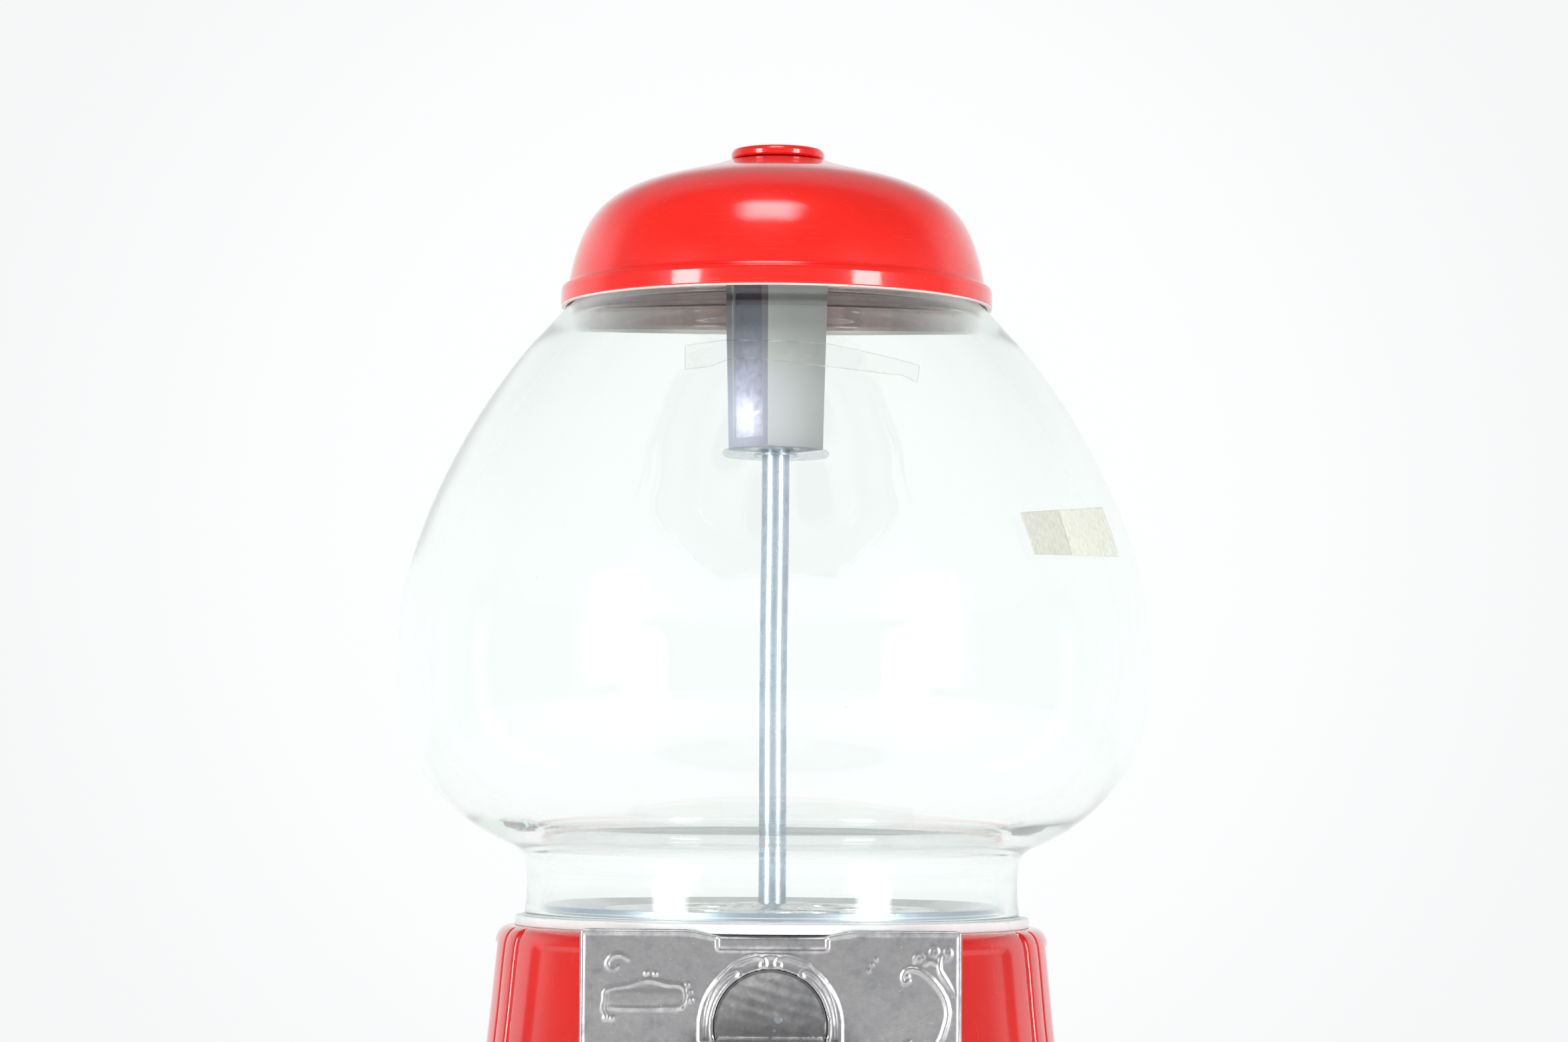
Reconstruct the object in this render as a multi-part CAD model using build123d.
from build123d import *
import os
from math import cos, pi, radians, sin, sqrt

os.makedirs("parts", exist_ok=True)

# Coin-operated capsule vendor, countertop size. Millimetres, +Z up, origin at the
# bottom centre of the feet. The front is -Y; azimuths are in degrees from +X.
# Profiles are lists of (radius, z) revolved about the Z axis.

# ---------------------------------------------------------------- driving dimensions
ROD_R = 3.97                # plated centre rod, 5/16 in
ROD_BORE_R = 2.6            # hollow for the lamp leads
ROD_BOTTOM, ROD_TOP = 2.0, 379.4
RUN = 0.05                  # radial running clearance on the rod and shafts

BASE_R = 104.4              # widest part of the cast base
BASE_TOP = 24.0
FOOT_PITCH_R = 86
FEET = [(FOOT_PITCH_R * cos(radians(a)), FOOT_PITCH_R * sin(radians(a)))
        for a in (45, 135, 225, 315)]

BODY_BOTTOM, BODY_TOP = 24.2, 157.3
BODY_WALL = 3.0
PANELS = 8                  # convex panels round the body
PANEL_PITCH = 360 / PANELS
RIB_HALF_DEG = 4.0          # narrow rib between two panels

PLATE_HALF = 51.6           # half width of the die-cast front plate
PLATE_FRONT, PLATE_BACK = -72.0, -68.5
PLATE_BOTTOM, PLATE_TOP = 40.3, 158.6
WALL_BACK = PLATE_BACK + BODY_WALL      # inner face of the flat wall behind the plate
STUDS = [(-42, 146), (42, 146), (-42, 52), (42, 52)]    # (x, z) of the plate studs
STUD_R = 2.0

WELL_Z = 132.5              # axis height of coin well, handle and shaft
WELL_R = 15.5
HANDLE_TOP = 129.3          # flat top edge of the handle, coin rests on it
SHAFT_R = 4.0
MECH_FRONT, MECH_BACK = -66.85, -53.6
MECH_SCREW_XS = (-27, 27)
RATCHET_FRONT, RATCHET_BACK = -64, -61  # ratchet wheel teeth and pawl
PAWL_X, PAWL_Z = 15.5, 145.5            # pawl pivot
PAWL_PIN_R = 1.5

COLLAR_R, COLLAR_BOTTOM, COLLAR_TOP = 73.7, 157.35, 160.0
FLOOR_BOTTOM, FLOOR_TOP = 135.7, 138.5  # hopper floor
HOPPER_WELL_R = 49.3                    # hopper well round the wheel
WHEEL_R, WHEEL_BOTTOM, WHEEL_TOP = 48.5, 143.7, 161.0
POCKET_COUNT, POCKET_R, POCKET_PITCH_R = 5, 11.5, 27.0
CROWN_TEETH, PINION_TEETH = 30, 6
CROWN_R = 44.0                          # radius at which crown and pinion mesh
PINION_R = CROWN_R * PINION_TEETH / CROWN_TEETH
MESH_Z = WELL_Z + PINION_R
PINION_FRONT, PINION_BACK = CROWN_R * -1 - 3, CROWN_R * -1 + 3

DOOR_Y, DOOR_Z = -76.2, 84.0            # chute door hinge axis
DOOR_HALF = 17.8
DOOR_PIN_R = 1.5

LAMP_SIDE_BOTTOM, LAMP_SIDE_TOP = 19.7, 22.2
LAMP_BOTTOM, LAMP_TOP = 294.0, 366.0
LAMP_TURN = -9.0            # front corner of the housing, degrees off the front
LAMP_FACE = 270 - 45 + LAMP_TURN        # azimuth of the open face

CENTRE_ON_BASE = (Align.CENTER, Align.CENTER, Align.MIN)


# ---------------------------------------------------------------- helpers
def cyl(radius, bottom, top, x=0, y=0):
    return Pos(x, y, bottom) * Cylinder(radius, top - bottom, align=CENTRE_ON_BASE)


def ycyl(radius, front, back, x=0, z=0):
    plane = Plane(origin=(x, front, z), z_dir=(0, 1, 0))
    return plane * Cylinder(radius, back - front, align=CENTRE_ON_BASE)


def xcyl(radius, left, right, y=0, z=0):
    plane = Plane(origin=(left, y, z), z_dir=(1, 0, 0))
    return plane * Cylinder(radius, right - left, align=CENTRE_ON_BASE)


def shaft_cyl(radius, front, back):
    """Cylinder on the axis of the coin well and handle shaft."""
    return ycyl(radius, front, back, 0, WELL_Z)


def box(left, right, front, back, bottom, top):
    centre = Pos((left + right) / 2, (front + back) / 2, (bottom + top) / 2)
    return centre * Box(right - left, back - front, top - bottom)


def both_sides(inner, outer):
    """(left, right) spans of a feature mirrored about x = 0."""
    return (-outer, -inner), (inner, outer)


def rev(profile, arc=360.0, start=0.0):
    outline = Polyline(*[(r, 0, z) for r, z in profile], close=True)
    return Rot(0, 0, start) * revolve(make_face(outline), Axis.Z, arc)


def rev_edges(*edges):
    return revolve(Face(Wire(list(edges))), Axis.Z, 360)


def spline(points):
    return Edge.make_spline([Vector(r, 0, z) for r, z in points])


def lines(*points):
    """Straight edges joining (radius, z) points in turn."""
    return [Edge.make_line(Vector(a[0], 0, a[1]), Vector(b[0], 0, b[1]))
            for a, b in zip(points[:-1], points[1:])]


def offset_points(points, distance):
    """Points of a profile moved to the right of its direction."""
    moved = []
    for i, (r, z) in enumerate(points):
        before = points[max(i - 1, 0)]
        after = points[min(i + 1, len(points) - 1)]
        step_r, step_z = after[0] - before[0], after[1] - before[1]
        length = sqrt(step_r * step_r + step_z * step_z)
        moved.append((r + distance * step_z / length, z - distance * step_r / length))
    return moved


def hexagon(across_flats, height):
    return extrude(RegularPolygon(across_flats / 2, 6, major_radius=False), height)


def ypoly(points, front, back):
    """Extrude an (x, z) polygon along Y."""
    face = make_face(Polyline(*[(x, front, z) for x, z in points], close=True))
    return extrude(face, amount=back - front, dir=(0, 1, 0))


def tooth(stations, front, back):
    """Symmetric tooth from (half width, z) stations, root first."""
    right = list(stations)
    left = [(-half, z) for half, z in stations]
    return ypoly([left[0]] + right + left[:0:-1], front, back)


def wire_run(points, radius):
    """Round wire along straight legs with ball corners."""
    run = None
    for a, b in zip(points[:-1], points[1:]):
        start = Vector(*a)
        leg = Vector(*b) - start
        rod = Plane(origin=start, z_dir=leg) * Cylinder(radius, leg.length, align=CENTRE_ON_BASE)
        run = rod if run is None else run + rod
        run = run + Pos(*b) * Sphere(radius)
    return run


def sweep_circle(radius, path, frenet=False):
    section = Plane(origin=path @ 0, z_dir=path % 0) * Circle(radius)
    return sweep(section, path=path, is_frenet=frenet)


def coil(radius, wire_r, pitch, turns):
    helix = Helix(pitch=pitch, height=pitch * turns, radius=radius)
    return sweep_circle(wire_r, helix, frenet=True)


def save(name, *shapes):
    solids = [solid for shape in shapes for solid in shape.solids()]
    export_step(solids[0] if len(solids) == 1 else Compound(solids), f"parts/{name}.step")


# ---------------------------------------------------------------- base and centre rod
def base_casting():
    """Cast dish that catches the coins, with a centre boss for the rod."""
    base = rev([
        (ROD_R + 0.25, 8), (16, 8), (16, 6), (97, 6), (98.5, 5), (103.2, 5),
        (BASE_R, 6.6), (BASE_R, 15), (103.6, 18.5), (101.6, 21.8), (98.8, BASE_TOP),
        (94.6, BASE_TOP), (94.6, 28), (91.6, 28), (91.6, 22.5), (98.6, 16.5),
        (99.6, 13), (99.6, 9), (14, 9), (14, 12), (ROD_R + 0.25, 12)])
    base -= box(-8, 8, 95, 110, 10.6, 15.4)     # slot for the lamp switch
    for x, y in FEET:
        base -= cyl(1.95, 5, 10, x, y)
    return base


def foot_screw():
    """Cross-slotted screw, head down."""
    return (cyl(3.7, 1.4, 2.98) + cyl(1.85, 2.0, 10.5)
            - box(-3, 3, -0.5, 0.5, 0, 2.0) - box(-0.5, 0.5, -3, 3, 0, 2.0))


def centre_rod():
    """Hollow rod with two side holes for the leads."""
    rod = cyl(ROD_R, ROD_BOTTOM, ROD_TOP) - cyl(ROD_BORE_R, ROD_BOTTOM - 1, ROD_TOP + 1)
    rod -= ycyl(1.6, 0, 6, 0, 17)
    rod -= (Pos(0, 0, 297.5) * Rot(0, 0, LAMP_FACE) * Rot(0, 90, 0)
            * Cylinder(1.5, 8, align=CENTRE_ON_BASE))
    return rod


save("base_casting", base_casting())
FOOT_PROFILE = [(2.1, 3), (4.4, 3), (4.4, 0), (7.6, 0), (8.4, 0.8), (9.2, 5.98), (2.1, 5.98)]
save("rubber_feet", *[Pos(x, y, 0) * rev(FOOT_PROFILE) for x, y in FEET])
save("foot_screws", *[Pos(x, y, 0) * foot_screw() for x, y in FEET])
save("base_washer", cyl(9, 6.6, 7.98) - cyl(4.15, 6, 9))
save("base_nut", Pos(0, 0, 2.2) * hexagon(13, 6.55 - 2.2) - cyl(ROD_R + RUN, 1.2, 7.55))
save("centre_rod", centre_rod())

# ---------------------------------------------------------------- body
BODY_OUTER = [
    (74.2, BODY_TOP), (75.9, 157.15), (77.5, 156.2), (78.6, 154.9), (79.2, 153.0),
    (79.55, 150.9), (80.3, 142.6), (81.1, 134.2), (82.0, 125.9), (84.6, 100), (87.4, 72),
    (89.3, 54), (90.6, 45), (92.4, 38), (95.0, 32), (97.4, 28), (98.6, 25.6),
    (98.8, BODY_BOTTOM)]
BODY_INNER = [
    (0, 158), (70.4, 158), (70.4, 154.4), (76.2, 151), (77.2, 142.6), (78.0, 134.2),
    (78.9, 125.9), (81.5, 100), (84.3, 72), (86.2, 54), (87.4, 45), (89.2, 37),
    (91.9, 30.4), (94.0, 28.6), (95.0, 28.2), (95.0, BODY_BOTTOM - 1), (0, BODY_BOTTOM - 1)]
MOUTH_R = 70.4              # opening at the top of the body


def body_blank():
    """Hollow body with a flat front behind the plate."""
    outside = rev_edges(
        *lines((0, BODY_TOP), BODY_OUTER[0]), spline(BODY_OUTER),
        *lines(BODY_OUTER[-1], (0, BODY_BOTTOM), (0, BODY_TOP)))
    outside = outside + box(-50.5, 50.5, PLATE_BACK, 0, 37, 154.6)
    outside = outside - box(-53, 53, -120, PLATE_BACK, 40.0, 160)
    front_block = box(-56, 56, -120, WALL_BACK, 37.0, 160)
    inside = rev(BODY_INNER) - front_block
    inside = inside + box(-47.5, 47.5, WALL_BACK, -20, 40, 151.5)
    inside = inside + cyl(MOUTH_R, 150, 158)
    inside = inside - box(-60, 60, -120, WALL_BACK, 37.0, 160)
    return outside - inside


def body_shell():
    shell = body_blank()
    shell -= box(-32, 32, -70, -60, 108, 151.5)     # window for the coin mechanism
    shell -= ycyl(15.9, -70, -60, 0, 64.4)          # chute hole
    shell -= cyl(MOUTH_R, 154.7, 160)
    for x, z in STUDS:
        shell -= ycyl(2.4, -70, -60, x, z)

    # Shallow panel fields follow the taper of the wall, on every panel but the front.
    field = [(r - 0.8, z) for r, z in BODY_OUTER[4:13]]
    end_r, end_z = field[-1]
    field_cut = ([(field[0][0] - 0.4, 152.6)] + field[1:]
                 + [(end_r + 8, end_z), (92, 152.6)])
    half = PANEL_PITCH / 2 - RIB_HALF_DEG - 2.6
    for k in range(1, PANELS):
        shell -= rev(field_cut, 2 * half, -90 + PANEL_PITCH * k - half)

    # A groove down each side of each rib runs over the shoulder.
    groove = offset_points(BODY_OUTER[:17], 0.7)
    end_r, end_z = groove[-1]
    groove_cut = groove + [(end_r + 4, end_z), (102, end_z), (102, 159.5),
                           (groove[0][0], 159.5)]
    width = 0.75                                    # degrees
    for k in range(PANELS):
        for side in (-1, 1):
            azimuth = -90 + PANEL_PITCH * (k + 0.5) + side * RIB_HALF_DEG
            shell -= rev(groove_cut, width, azimuth - width / 2)
    return [solid for solid in shell.solids() if solid.volume > 1000]


save("body_shell", *body_shell())


# ---------------------------------------------------------------- front plate
def plate_blank():
    """Rounded plate with a raised rim, broken at the top centre."""
    plate = box(-PLATE_HALF, PLATE_HALF, PLATE_FRONT, PLATE_BACK, PLATE_BOTTOM, PLATE_TOP)
    plate = fillet([e for e in plate.edges().filter_by(Axis.Y) if e.center().Z > 150], 1.8)
    plate = fillet([e for e in plate.edges().filter_by(Axis.Y) if e.center().Z < 45], 2.5)
    rim = box(-PLATE_HALF, PLATE_HALF, PLATE_FRONT - 0.9, PLATE_FRONT, PLATE_BOTTOM, PLATE_TOP)
    rim = fillet([e for e in rim.edges().filter_by(Axis.Y) if e.center().Z > 150], 1.8)
    width = 1.7
    rim -= box(-PLATE_HALF + width, PLATE_HALF - width, PLATE_FRONT - 3, PLATE_FRONT + 1,
               PLATE_BOTTOM + width, PLATE_TOP - width)
    rim -= box(-20.5, 20.5, PLATE_FRONT - 3, PLATE_FRONT, PLATE_TOP - 5, PLATE_TOP + 1)
    return plate + rim


def well_arch():
    """Arch ring round the coin well, with straight legs."""
    inner, outer, front = 16.4, 19.2, PLATE_FRONT - 1.8
    arch = shaft_cyl(outer, front, PLATE_FRONT) - shaft_cyl(WELL_R, -80, -70)
    for left, right in both_sides(inner, outer):
        arch += box(left, right, front, PLATE_FRONT, 110, WELL_Z)
    return arch


def front_plate():
    plate = plate_blank()
    plate -= cyl(COLLAR_R + 0.25, COLLAR_BOTTOM - 0.2, 165)     # clears the hopper's collar
    plate += box(-14.9, 14.9, PLATE_FRONT - 1.4, PLATE_FRONT, 153.2, 156.8)     # raised tab
    plate -= cyl(70.5, 154.9, 160)
    plate += well_arch()
    plate -= shaft_cyl(WELL_R, -80, -60)
    # raised frame round the chute mouth
    plate += (box(-22, 22, PLATE_FRONT - 1.6, PLATE_FRONT, 45.5, 88.5)
              - box(-19, 19, PLATE_FRONT - 3, PLATE_FRONT, 48.5, 79.0))
    plate -= ycyl(13.2, -80, -60, 0, 64)
    lug_r = 2.9
    for left, right in both_sides(18.2, 21.6):                  # door hinge lugs
        lug = (box(left, right, DOOR_Y - 0.2, PLATE_FRONT, DOOR_Z - lug_r, DOOR_Z + lug_r)
               + xcyl(lug_r, left, right, DOOR_Y, DOOR_Z))
        plate += lug - xcyl(DOOR_PIN_R, left - 1, right + 1, DOOR_Y, DOOR_Z)
    for x, z in STUDS:
        plate += ycyl(STUD_R, PLATE_BACK - 0.5, -59.5, x, z)
    thread_r = 1.65
    for x in MECH_SCREW_XS:                                     # bosses for the mech screws
        plate += (ycyl(4.2, PLATE_BACK - 0.2, -66.9, x, WELL_Z)
                  - ycyl(thread_r, -70, -60, x, WELL_Z))
        plate -= ycyl(thread_r, -70.6, -60, x, WELL_Z)
    return plate


def plate_nut(x, z):
    nut = Plane(origin=(x, WALL_BACK + 0.05, z), z_dir=(0, 1, 0)) * hexagon(7.2, 3.0)
    return nut - ycyl(STUD_R + RUN, -70, -58, x, z)


save("front_plate", front_plate())
save("plate_nuts", *[plate_nut(x, z) for x, z in STUDS])

# ---------------------------------------------------------------- coin mechanism
MECH_BACK_WALL = 2.2
BUSHING_R = 6.0
BUSHING_BACK = MECH_BACK + 0.6


def mech_housing():
    """Box open to the front and below, with a screw ear on each side."""
    half, top, wall = 23, 151.1, 2
    housing = (box(-half, half, MECH_FRONT, MECH_BACK, 109.3, top)
               - box(wall - half, half - wall, MECH_FRONT - 1, MECH_BACK - MECH_BACK_WALL,
                     102, top - wall))
    left_ear, right_ear = [box(left, right, MECH_FRONT, MECH_FRONT + wall, 124.5, 140.5)
                           for left, right in both_sides(22.9, 31)]
    housing += left_ear + right_ear
    for x in MECH_SCREW_XS:
        housing -= ycyl(1.8, -70, -50, x, WELL_Z)
    housing += shaft_cyl(8.5, MECH_BACK - MECH_BACK_WALL, BUSHING_BACK)
    housing -= shaft_cyl(BUSHING_R, -80, -40)
    housing -= ycyl(PAWL_PIN_R, -60, -50, PAWL_X, PAWL_Z)
    return housing


def mech_screw(x):
    screw = (ycyl(3.1, MECH_FRONT + 2.02, MECH_FRONT + 4.0, x, WELL_Z)
             + ycyl(1.6, -70.4, MECH_FRONT + 2.5, x, WELL_Z))
    return screw - box(x - 4, x + 4, MECH_FRONT + 3.2, MECH_FRONT + 5,
                       WELL_Z - 0.45, WELL_Z + 0.45)


def shaft_bushing():
    front = MECH_BACK - 3.4
    return (shaft_cyl(BUSHING_R, front, BUSHING_BACK)
            + shaft_cyl(7.6, front, MECH_BACK - MECH_BACK_WALL - 0.01)
            - shaft_cyl(SHAFT_R + RUN, -80, -40))


def coin_rotor():
    """Disc in the coin well, thick below the coin, with a low rim above."""
    radius, step = WELL_R - 0.3, -70.4
    rotor = shaft_cyl(radius, step, -68.7)
    lower = (shaft_cyl(radius, PLATE_FRONT, step)
             - box(-20, 20, -74, -60, HANDLE_TOP, 150))
    rotor = rotor + lower - shaft_cyl(SHAFT_R, -80, -60)
    rotor += shaft_cyl(radius, -70.9, step + 0.01) - shaft_cyl(13.6, -72, -70)
    return rotor


def coin_handle():
    """Part disc below the coin, with a wing grip."""
    handle = (shaft_cyl(14.4, -82.5, PLATE_FRONT - 0.02)
              - box(-20, 20, -90, -60, HANDLE_TOP, 150))
    wing = Pos(0, -84.2, 123.1) * Box(47, 12.0, 12.0)
    wing = fillet(wing.edges().filter_by(Axis.Y), 5.2)
    wing = fillet(wing.faces().sort_by(Axis.Y)[0].edges(), 2.0)
    handle = handle + wing
    handle -= box(-30, 30, -95, -60, HANDLE_TOP, 150)
    return handle


def ratchet_wheel():
    """Saw-toothed wheel with a hub behind it."""
    teeth, tip_r, root_r = 12, 12.8, 10.6
    points = []
    for k in range(teeth):
        angle = 2 * pi * k / teeth
        for radius, turn in ((tip_r, angle), (root_r, angle + 0.06)):
            points.append((radius * cos(turn), WELL_Z + radius * sin(turn)))
    return (ypoly(points, RATCHET_FRONT, RATCHET_BACK) + shaft_cyl(6.5, RATCHET_BACK, -58.4)
            - shaft_cyl(SHAFT_R, -70, -50))


def pawl():
    """Short finger that stops the shaft turning back."""
    finger = ypoly([(PAWL_X + 0.5, PAWL_Z + 2.8), (PAWL_X + 0.5, PAWL_Z - 2.8),
                    (7.3, WELL_Z + 11.5), (6.5, WELL_Z + 13.8)], RATCHET_FRONT, RATCHET_BACK)
    finger = (finger + ycyl(3.1, RATCHET_FRONT, RATCHET_BACK, PAWL_X, PAWL_Z)
              - ycyl(PAWL_PIN_R + RUN, -70, -50, PAWL_X, PAWL_Z))
    finger -= shaft_cyl(13.25, -70, -50)
    return finger


def drive_pinion():
    """Six bevelled lobes that drive the crown under the dispensing wheel."""
    tip_r, root_r = PINION_R + 1.7, PINION_R - 2.5
    pinion = shaft_cyl(root_r, PINION_FRONT, PINION_BACK)
    for k in range(PINION_TEETH):
        lobe = tooth([(1.9, root_r - 1.5), (1.5, PINION_R), (0.75, tip_r)],
                     PINION_FRONT, PINION_BACK)
        pinion += Pos(0, 0, WELL_Z) * Rot(0, 360 * k / PINION_TEETH, 0) * lobe
    return pinion - shaft_cyl(SHAFT_R, -50, -30)


save("mech_housing", mech_housing())
save("mech_screws", *[mech_screw(x) for x in MECH_SCREW_XS])
save("shaft_bushing", shaft_bushing())
save("pawl_pin", ycyl(PAWL_PIN_R, -65.5, MECH_BACK, PAWL_X, PAWL_Z))
save("handle_shaft", shaft_cyl(SHAFT_R, -71.0, -38.5))
save("coin_rotor", coin_rotor())
save("coin_handle", coin_handle())
save("ratchet_wheel", ratchet_wheel())
save("pawl", pawl())
save("pawl_spring",
     Plane(origin=(PAWL_X, -60.4, PAWL_Z), z_dir=(0, 1, 0)) * coil(2.15, 0.3, 0.9, 4))
save("drive_pinion", drive_pinion())
save("shaft_clip", shaft_cyl(5.4, -40.4, -39.4) - shaft_cyl(SHAFT_R, -50, -30)
     - box(-1.6, 1.6, -41, -39, 120, WELL_Z))


# ---------------------------------------------------------------- hopper and wheel
def hopper():
    bowl = rev([
        (COLLAR_R, COLLAR_BOTTOM), (COLLAR_R, 159.6), (COLLAR_R - 0.4, COLLAR_TOP),
        (66.2, COLLAR_TOP), (65.9, 162.6), (63.4, 162.6), (52.0, 157.6),
        (HOPPER_WELL_R, 157.2), (HOPPER_WELL_R, FLOOR_TOP), (9, FLOOR_TOP), (9, 142.5),
        (ROD_R + 0.3, 142.5), (ROD_R + 0.3, FLOOR_BOTTOM), (51.6, FLOOR_BOTTOM),
        (51.6, 155.0), (70.1, 155.0), (70.1, COLLAR_BOTTOM)])
    bowl -= cyl(12.3, FLOOR_BOTTOM - 1, FLOOR_TOP + 1, POCKET_PITCH_R, 0)   # capsule drop hole
    bowl -= box(-12.2, 12.2, -53.5, -37.0, FLOOR_BOTTOM - 1, 144.8)         # pinion opening
    return bowl


def dispensing_wheel():
    """Wheel with through pockets and a crown of teeth underneath."""
    crown_z = WHEEL_BOTTOM + 3.6
    wheel = rev([
        (ROD_R + RUN, WHEEL_BOTTOM), (9.2, WHEEL_BOTTOM), (9.2, 158.2), (46.0, 158.2),
        (46.0, crown_z), (40.6, crown_z), (40.6, WHEEL_BOTTOM), (WHEEL_R, WHEEL_BOTTOM),
        (WHEEL_R, 160.2), (WHEEL_R - 0.8, WHEEL_TOP), (14, WHEEL_TOP), (10, 163.0),
        (ROD_R + RUN, 163.0)])
    angles = [radians(360 / POCKET_COUNT * k) for k in range(POCKET_COUNT)]
    pockets = [(POCKET_PITCH_R * cos(a), POCKET_PITCH_R * sin(a)) for a in angles]
    for x, y in pockets:
        wheel += cyl(POCKET_R + 1.8, WHEEL_BOTTOM + 0.1, 158.4, x, y)
    for x, y in pockets:
        wheel -= cyl(POCKET_R, 130, 170, x, y)
    for k in range(CROWN_TEETH):
        cog = tooth([(1.7, WHEEL_BOTTOM + 0.3), (1.55, MESH_Z), (0.8, MESH_Z - 1.8)],
                    PINION_FRONT - 0.4, PINION_BACK)
        wheel += Rot(0, 0, 360 / CROWN_TEETH * (k + 0.5)) * cog
    return wheel


save("hopper", hopper())
save("wheel_washer", cyl(8.6, 142.55, 143.65) - cyl(ROD_R + 0.25, 142, 144))
save("dispensing_wheel", dispensing_wheel())


# ---------------------------------------------------------------- chute and door
def chute():
    """Curved tube from the hopper's drop hole to the front wall."""
    path = Spline((POCKET_PITCH_R, 0, FLOOR_BOTTOM - 0.1), (24.5, -10, 104),
                  (6.0, -50, 71), (0, -68.3, 64), tangents=((0, 0, -1), (0, -1, -0.28)))
    tube = sweep_circle(14.2, path) - sweep_circle(12.8, path)
    tube -= box(-40, 40, -90, PLATE_BACK + 2.1, 30, 100)    # mouth ends inside the wall hole
    tube -= box(-60, 60, -60, 60, FLOOR_BOTTOM - 0.02, 150)
    return [solid for solid in tube.solids() if solid.volume > 500]


def chute_door():
    door = box(-DOOR_HALF, DOOR_HALF, DOOR_Y - 1.4, DOOR_Y + 0.8, 50.6, DOOR_Z)
    door = fillet([e for e in door.edges().filter_by(Axis.Y) if e.center().Z < 60], 5.0)
    door += xcyl(2.4, -DOOR_HALF, DOOR_HALF, DOOR_Y, DOOR_Z)
    door += box(-9, 9, DOOR_Y - 5.4, DOOR_Y - 1.3, 51.6, 53.4)      # finger lip
    door -= xcyl(DOOR_PIN_R + RUN, -30, 30, DOOR_Y, DOOR_Z)
    return door


save("chute", *chute())
save("chute_door", chute_door())
save("door_pin", xcyl(DOOR_PIN_R, -22.2, 22.2, DOOR_Y, DOOR_Z))

# ---------------------------------------------------------------- globe
GLOBE_OUTER = [
    (57.3, 338.2), (58.4, 336.6), (60.1, 335.0), (62.7, 332.5), (66.23, 328.50),
    (70.6, 323.8), (74.71, 318.82), (81.67, 309.16), (87.76, 299.51), (92.94, 289.86),
    (97.56, 280.23), (101.40, 270.60), (104.49, 260.99), (106.24, 253.30),
    (107.58, 241.79), (107.95, 232.20), (107.42, 222.63), (105.63, 213.06),
    (101.91, 203.50), (95.22, 193.95), (89.04, 188.23), (83.51, 184.41), (77.6, 181.3),
    (73.2, 179.2), (71.15, 177.2)]
GLOBE_WALL = 3.3
NECK_OUTER = [GLOBE_OUTER[-1], (70.56, 174.3), (70.38, 170.1), (70.54, 163.5), (71.0, 160.55)]
NECK_INNER = [(67.0, 160.55), (66.75, 163.5), (66.7, 170.1), (66.7, 175.0), (67.1, 178.6)]


def globe():
    inner = ([(54.0, 338.0)] + offset_points(GLOBE_OUTER, GLOBE_WALL)[1:-3]
             + [(75.0, 184.2), (69.4, 181.4), NECK_INNER[-1]])
    rim_top = 342.6
    return rev_edges(
        *lines((57.3, rim_top), GLOBE_OUTER[0]), spline(GLOBE_OUTER), spline(NECK_OUTER),
        *lines(NECK_OUTER[-1], NECK_INNER[0]), spline(NECK_INNER), spline(inner[::-1]),
        *lines(inner[0], (54.0, rim_top), (57.3, rim_top)))


save("globe", globe())
save("globe_gasket", cyl(71.2, COLLAR_TOP + 0.02, COLLAR_TOP + 0.52) - cyl(66.9, 159, 161))

# ---------------------------------------------------------------- lid
LID_DOME = [
    (15.15, 377.83), (18.15, 376.87), (21.26, 375.94), (24.55, 375.04), (28.09, 374.14),
    (31.91, 373.16), (36.00, 371.99), (40.29, 370.51), (44.56, 368.54), (48.57, 365.98),
    (52.05, 362.79), (54.75, 359.02), (56.77, 354.86), (58.32, 350.46), (59.49, 345.90),
    (60.20, 341.60)]


def lid():
    """Thin dome with a flat crown and a skirt round the globe's rim."""
    inner = offset_points(LID_DOME, 1.4)
    inner[-1] = (58.8, 341.7)
    return rev_edges(
        *lines((6.3, 378.3), (13.2, 378.25), LID_DOME[0]), spline(LID_DOME),
        *lines(LID_DOME[-1], (61.9, 340.9), (62.4, 340.0), (62.4, 335.1), (61.0, 335.1),
               (61.0, 339.4), inner[-1]),
        spline(inner[::-1]),
        *lines(inner[0], (13.0, 376.85), (6.3, 376.9), (6.3, 378.3)))


INSERT_R = 5.0
KNOB_BOTTOM = 371.4
save("lid", lid())
save("lid_seal", rev([(58.0, 342.9), (58.0, 345.2), (53.6, 345.2), (53.6, 342.9)]))
save("lid_knob", rev([
    (0, 381.5), (12.4, 381.5), (13.2, 381.15), (13.5, 380.4), (13.5, 378.5), (5.9, 378.5),
    (5.9, KNOB_BOTTOM), (INSERT_R, KNOB_BOTTOM), (INSERT_R, 379.6), (0, 379.6)]))
save("lid_insert", cyl(INSERT_R, KNOB_BOTTOM, 379.55) - cyl(ROD_R + RUN, 371, 380))


# ---------------------------------------------------------------- lamp
def lamp_square(side, z):
    return Plane(origin=(0, 0, z)) * Rot(0, 0, 45 + LAMP_TURN) * Rectangle(side, side)


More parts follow.
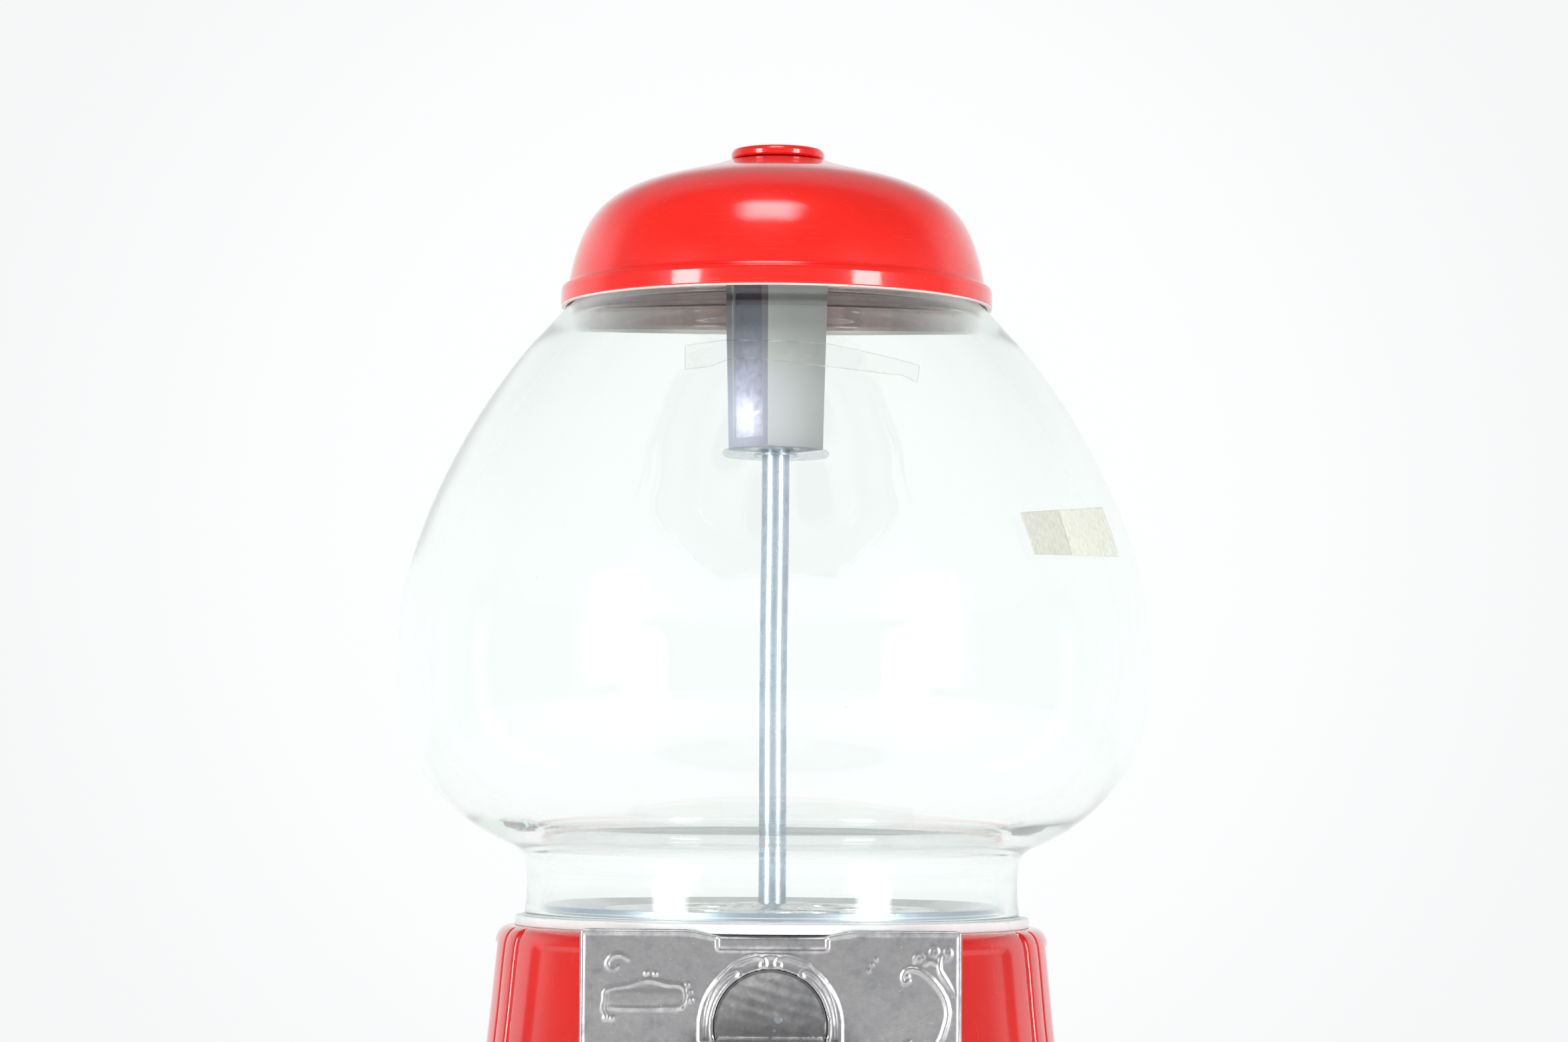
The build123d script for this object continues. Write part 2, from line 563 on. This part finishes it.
def lamp_housing():
    """Tapered square box; its front left face is open inside a narrow frame."""
    outside = loft([lamp_square(LAMP_SIDE_BOTTOM, LAMP_BOTTOM),
                    lamp_square(LAMP_SIDE_TOP, LAMP_TOP)])
    inside = loft([lamp_square(LAMP_SIDE_BOTTOM - 3.0, LAMP_BOTTOM + 1.6),
                   lamp_square(LAMP_SIDE_TOP - 3.0, LAMP_TOP - 1.6)])
    lamp = outside - inside
    lamp -= Rot(0, 0, LAMP_FACE) * box(4.0, 14.0, -7.2, 7.2, LAMP_BOTTOM + 3.2, LAMP_TOP - 8)
    lamp -= cyl(ROD_R + RUN, 280, 380)
    return [solid for solid in lamp.solids() if solid.volume > 200]


def lamp_lead(side):
    """Lead up inside the rod and out through its upper side hole."""
    face_cos, face_sin = cos(radians(LAMP_FACE)), sin(radians(LAMP_FACE))
    reach, spread, rise = 3.6, side * 0.5, side * 0.35
    return wire_run([
        (side * 0.9, 0, 16.9), (side * 0.9, 0, 297.0 + rise),
        (reach * face_cos - spread * face_sin, reach * face_sin + spread * face_cos,
         297.6 + rise)], 0.42)


save("lamp_housing", *lamp_housing())
save("lamp_flange", rev([
    (ROD_R + RUN, 292.92), (6.3, 292.92), (6.3, 292.2), (14.9, 292.2), (15.4, 292.7),
    (15.4, 293.4), (15.0, 293.9), (ROD_R + RUN, 293.9)]))
# push-on clip that holds the flange from below, sunk in its underside
save("lamp_push_clip", rev([
    (ROD_R + 0.02, 292.3), (6.0, 292.3), (6.0, 292.88), (ROD_R + 0.02, 292.88)]))
# these sit inside the open face, built along +X and turned to it
face_turn = Rot(0, 0, LAMP_FACE)
save("lamp_led", face_turn * (cyl(2.0, 296.4, 300.6, 6.15) + Pos(6.15, 0, 300.6) * Sphere(2.0)))
save("lamp_board", face_turn * box(4.2, 8.1, -5.8, 5.8, 295.65, 296.38))
save("lamp_terminal", face_turn * (box(5.0, 7.2, 3.6, 5.9, 296.4, 303.4)
                                   + box(5.0, 7.2, 2.9, 5.9, 301.8, 303.4)))
save("lamp_leads", *[lamp_lead(side) for side in (-1, 1)])

# ---------------------------------------------------------------- battery box and switch
TRAY_HALF, TRAY_FRONT, TRAY_BACK = 31.5, 34, 81
TRAY_WALL = 1.8
CELL_YS = (43.1, 57.5, 71.9)
CELL_Z = 18.0

save("battery_box",
     box(-TRAY_HALF, TRAY_HALF, TRAY_FRONT, TRAY_BACK, 9.05, 26)
     - box(TRAY_WALL - TRAY_HALF, TRAY_HALF - TRAY_WALL,
           TRAY_FRONT + TRAY_WALL, TRAY_BACK - TRAY_WALL, 10.8, 27))
save("batteries", *[xcyl(7.0, -25.2, 24.4, y, CELL_Z) + xcyl(2.7, 24.3, 25.6, y, CELL_Z)
                    for y in CELL_YS])
save("battery_contacts", *[box(left, left + 0.5, y - 6, y + 6, 11, 25)
                           for y in CELL_YS for left in (-29.65, 29.15)])
save("battery_springs", *[
    Plane(origin=(-28.8, y, CELL_Z), z_dir=(1, 0, 0)) * coil(3.2, 0.35, 1.0, 3)
    for y in CELL_YS])
save("battery_cover",
     box(-TRAY_HALF, TRAY_HALF, TRAY_FRONT, TRAY_BACK, 26.05, 27.6)
     + box(-29.5, 29.5, 36.0, 79.0, 25.2, 26.06)
     - box(-12, 12, 74, 77, 26.9, 28))
save("switch_body", box(-9.5, 9.5, 88.0, 97.8, 9.1, 16.2) - box(-7.2, 7.2, 94, 99, 10.9, 15.1))
save("switch_slider",
     box(-5.0, 1.0, 94.4, 97.7, 11.0, 15.0) + box(-4.2, 0.2, 97.6, 106.6, 11.8, 14.2))
# two leads from the battery box to the rod, one to the switch
save("base_leads",
     *[wire_run([(x, 33.8, 17.3), (x, 5.2, 17.3), (x, 2.2, 17.0)], 0.5) for x in (0.7, -0.7)],
     wire_run([(-20, 81.3, 14.5), (-20, 86, 14.5), (-13, 90, 14.5), (-10.2, 92, 14.0)], 0.6))
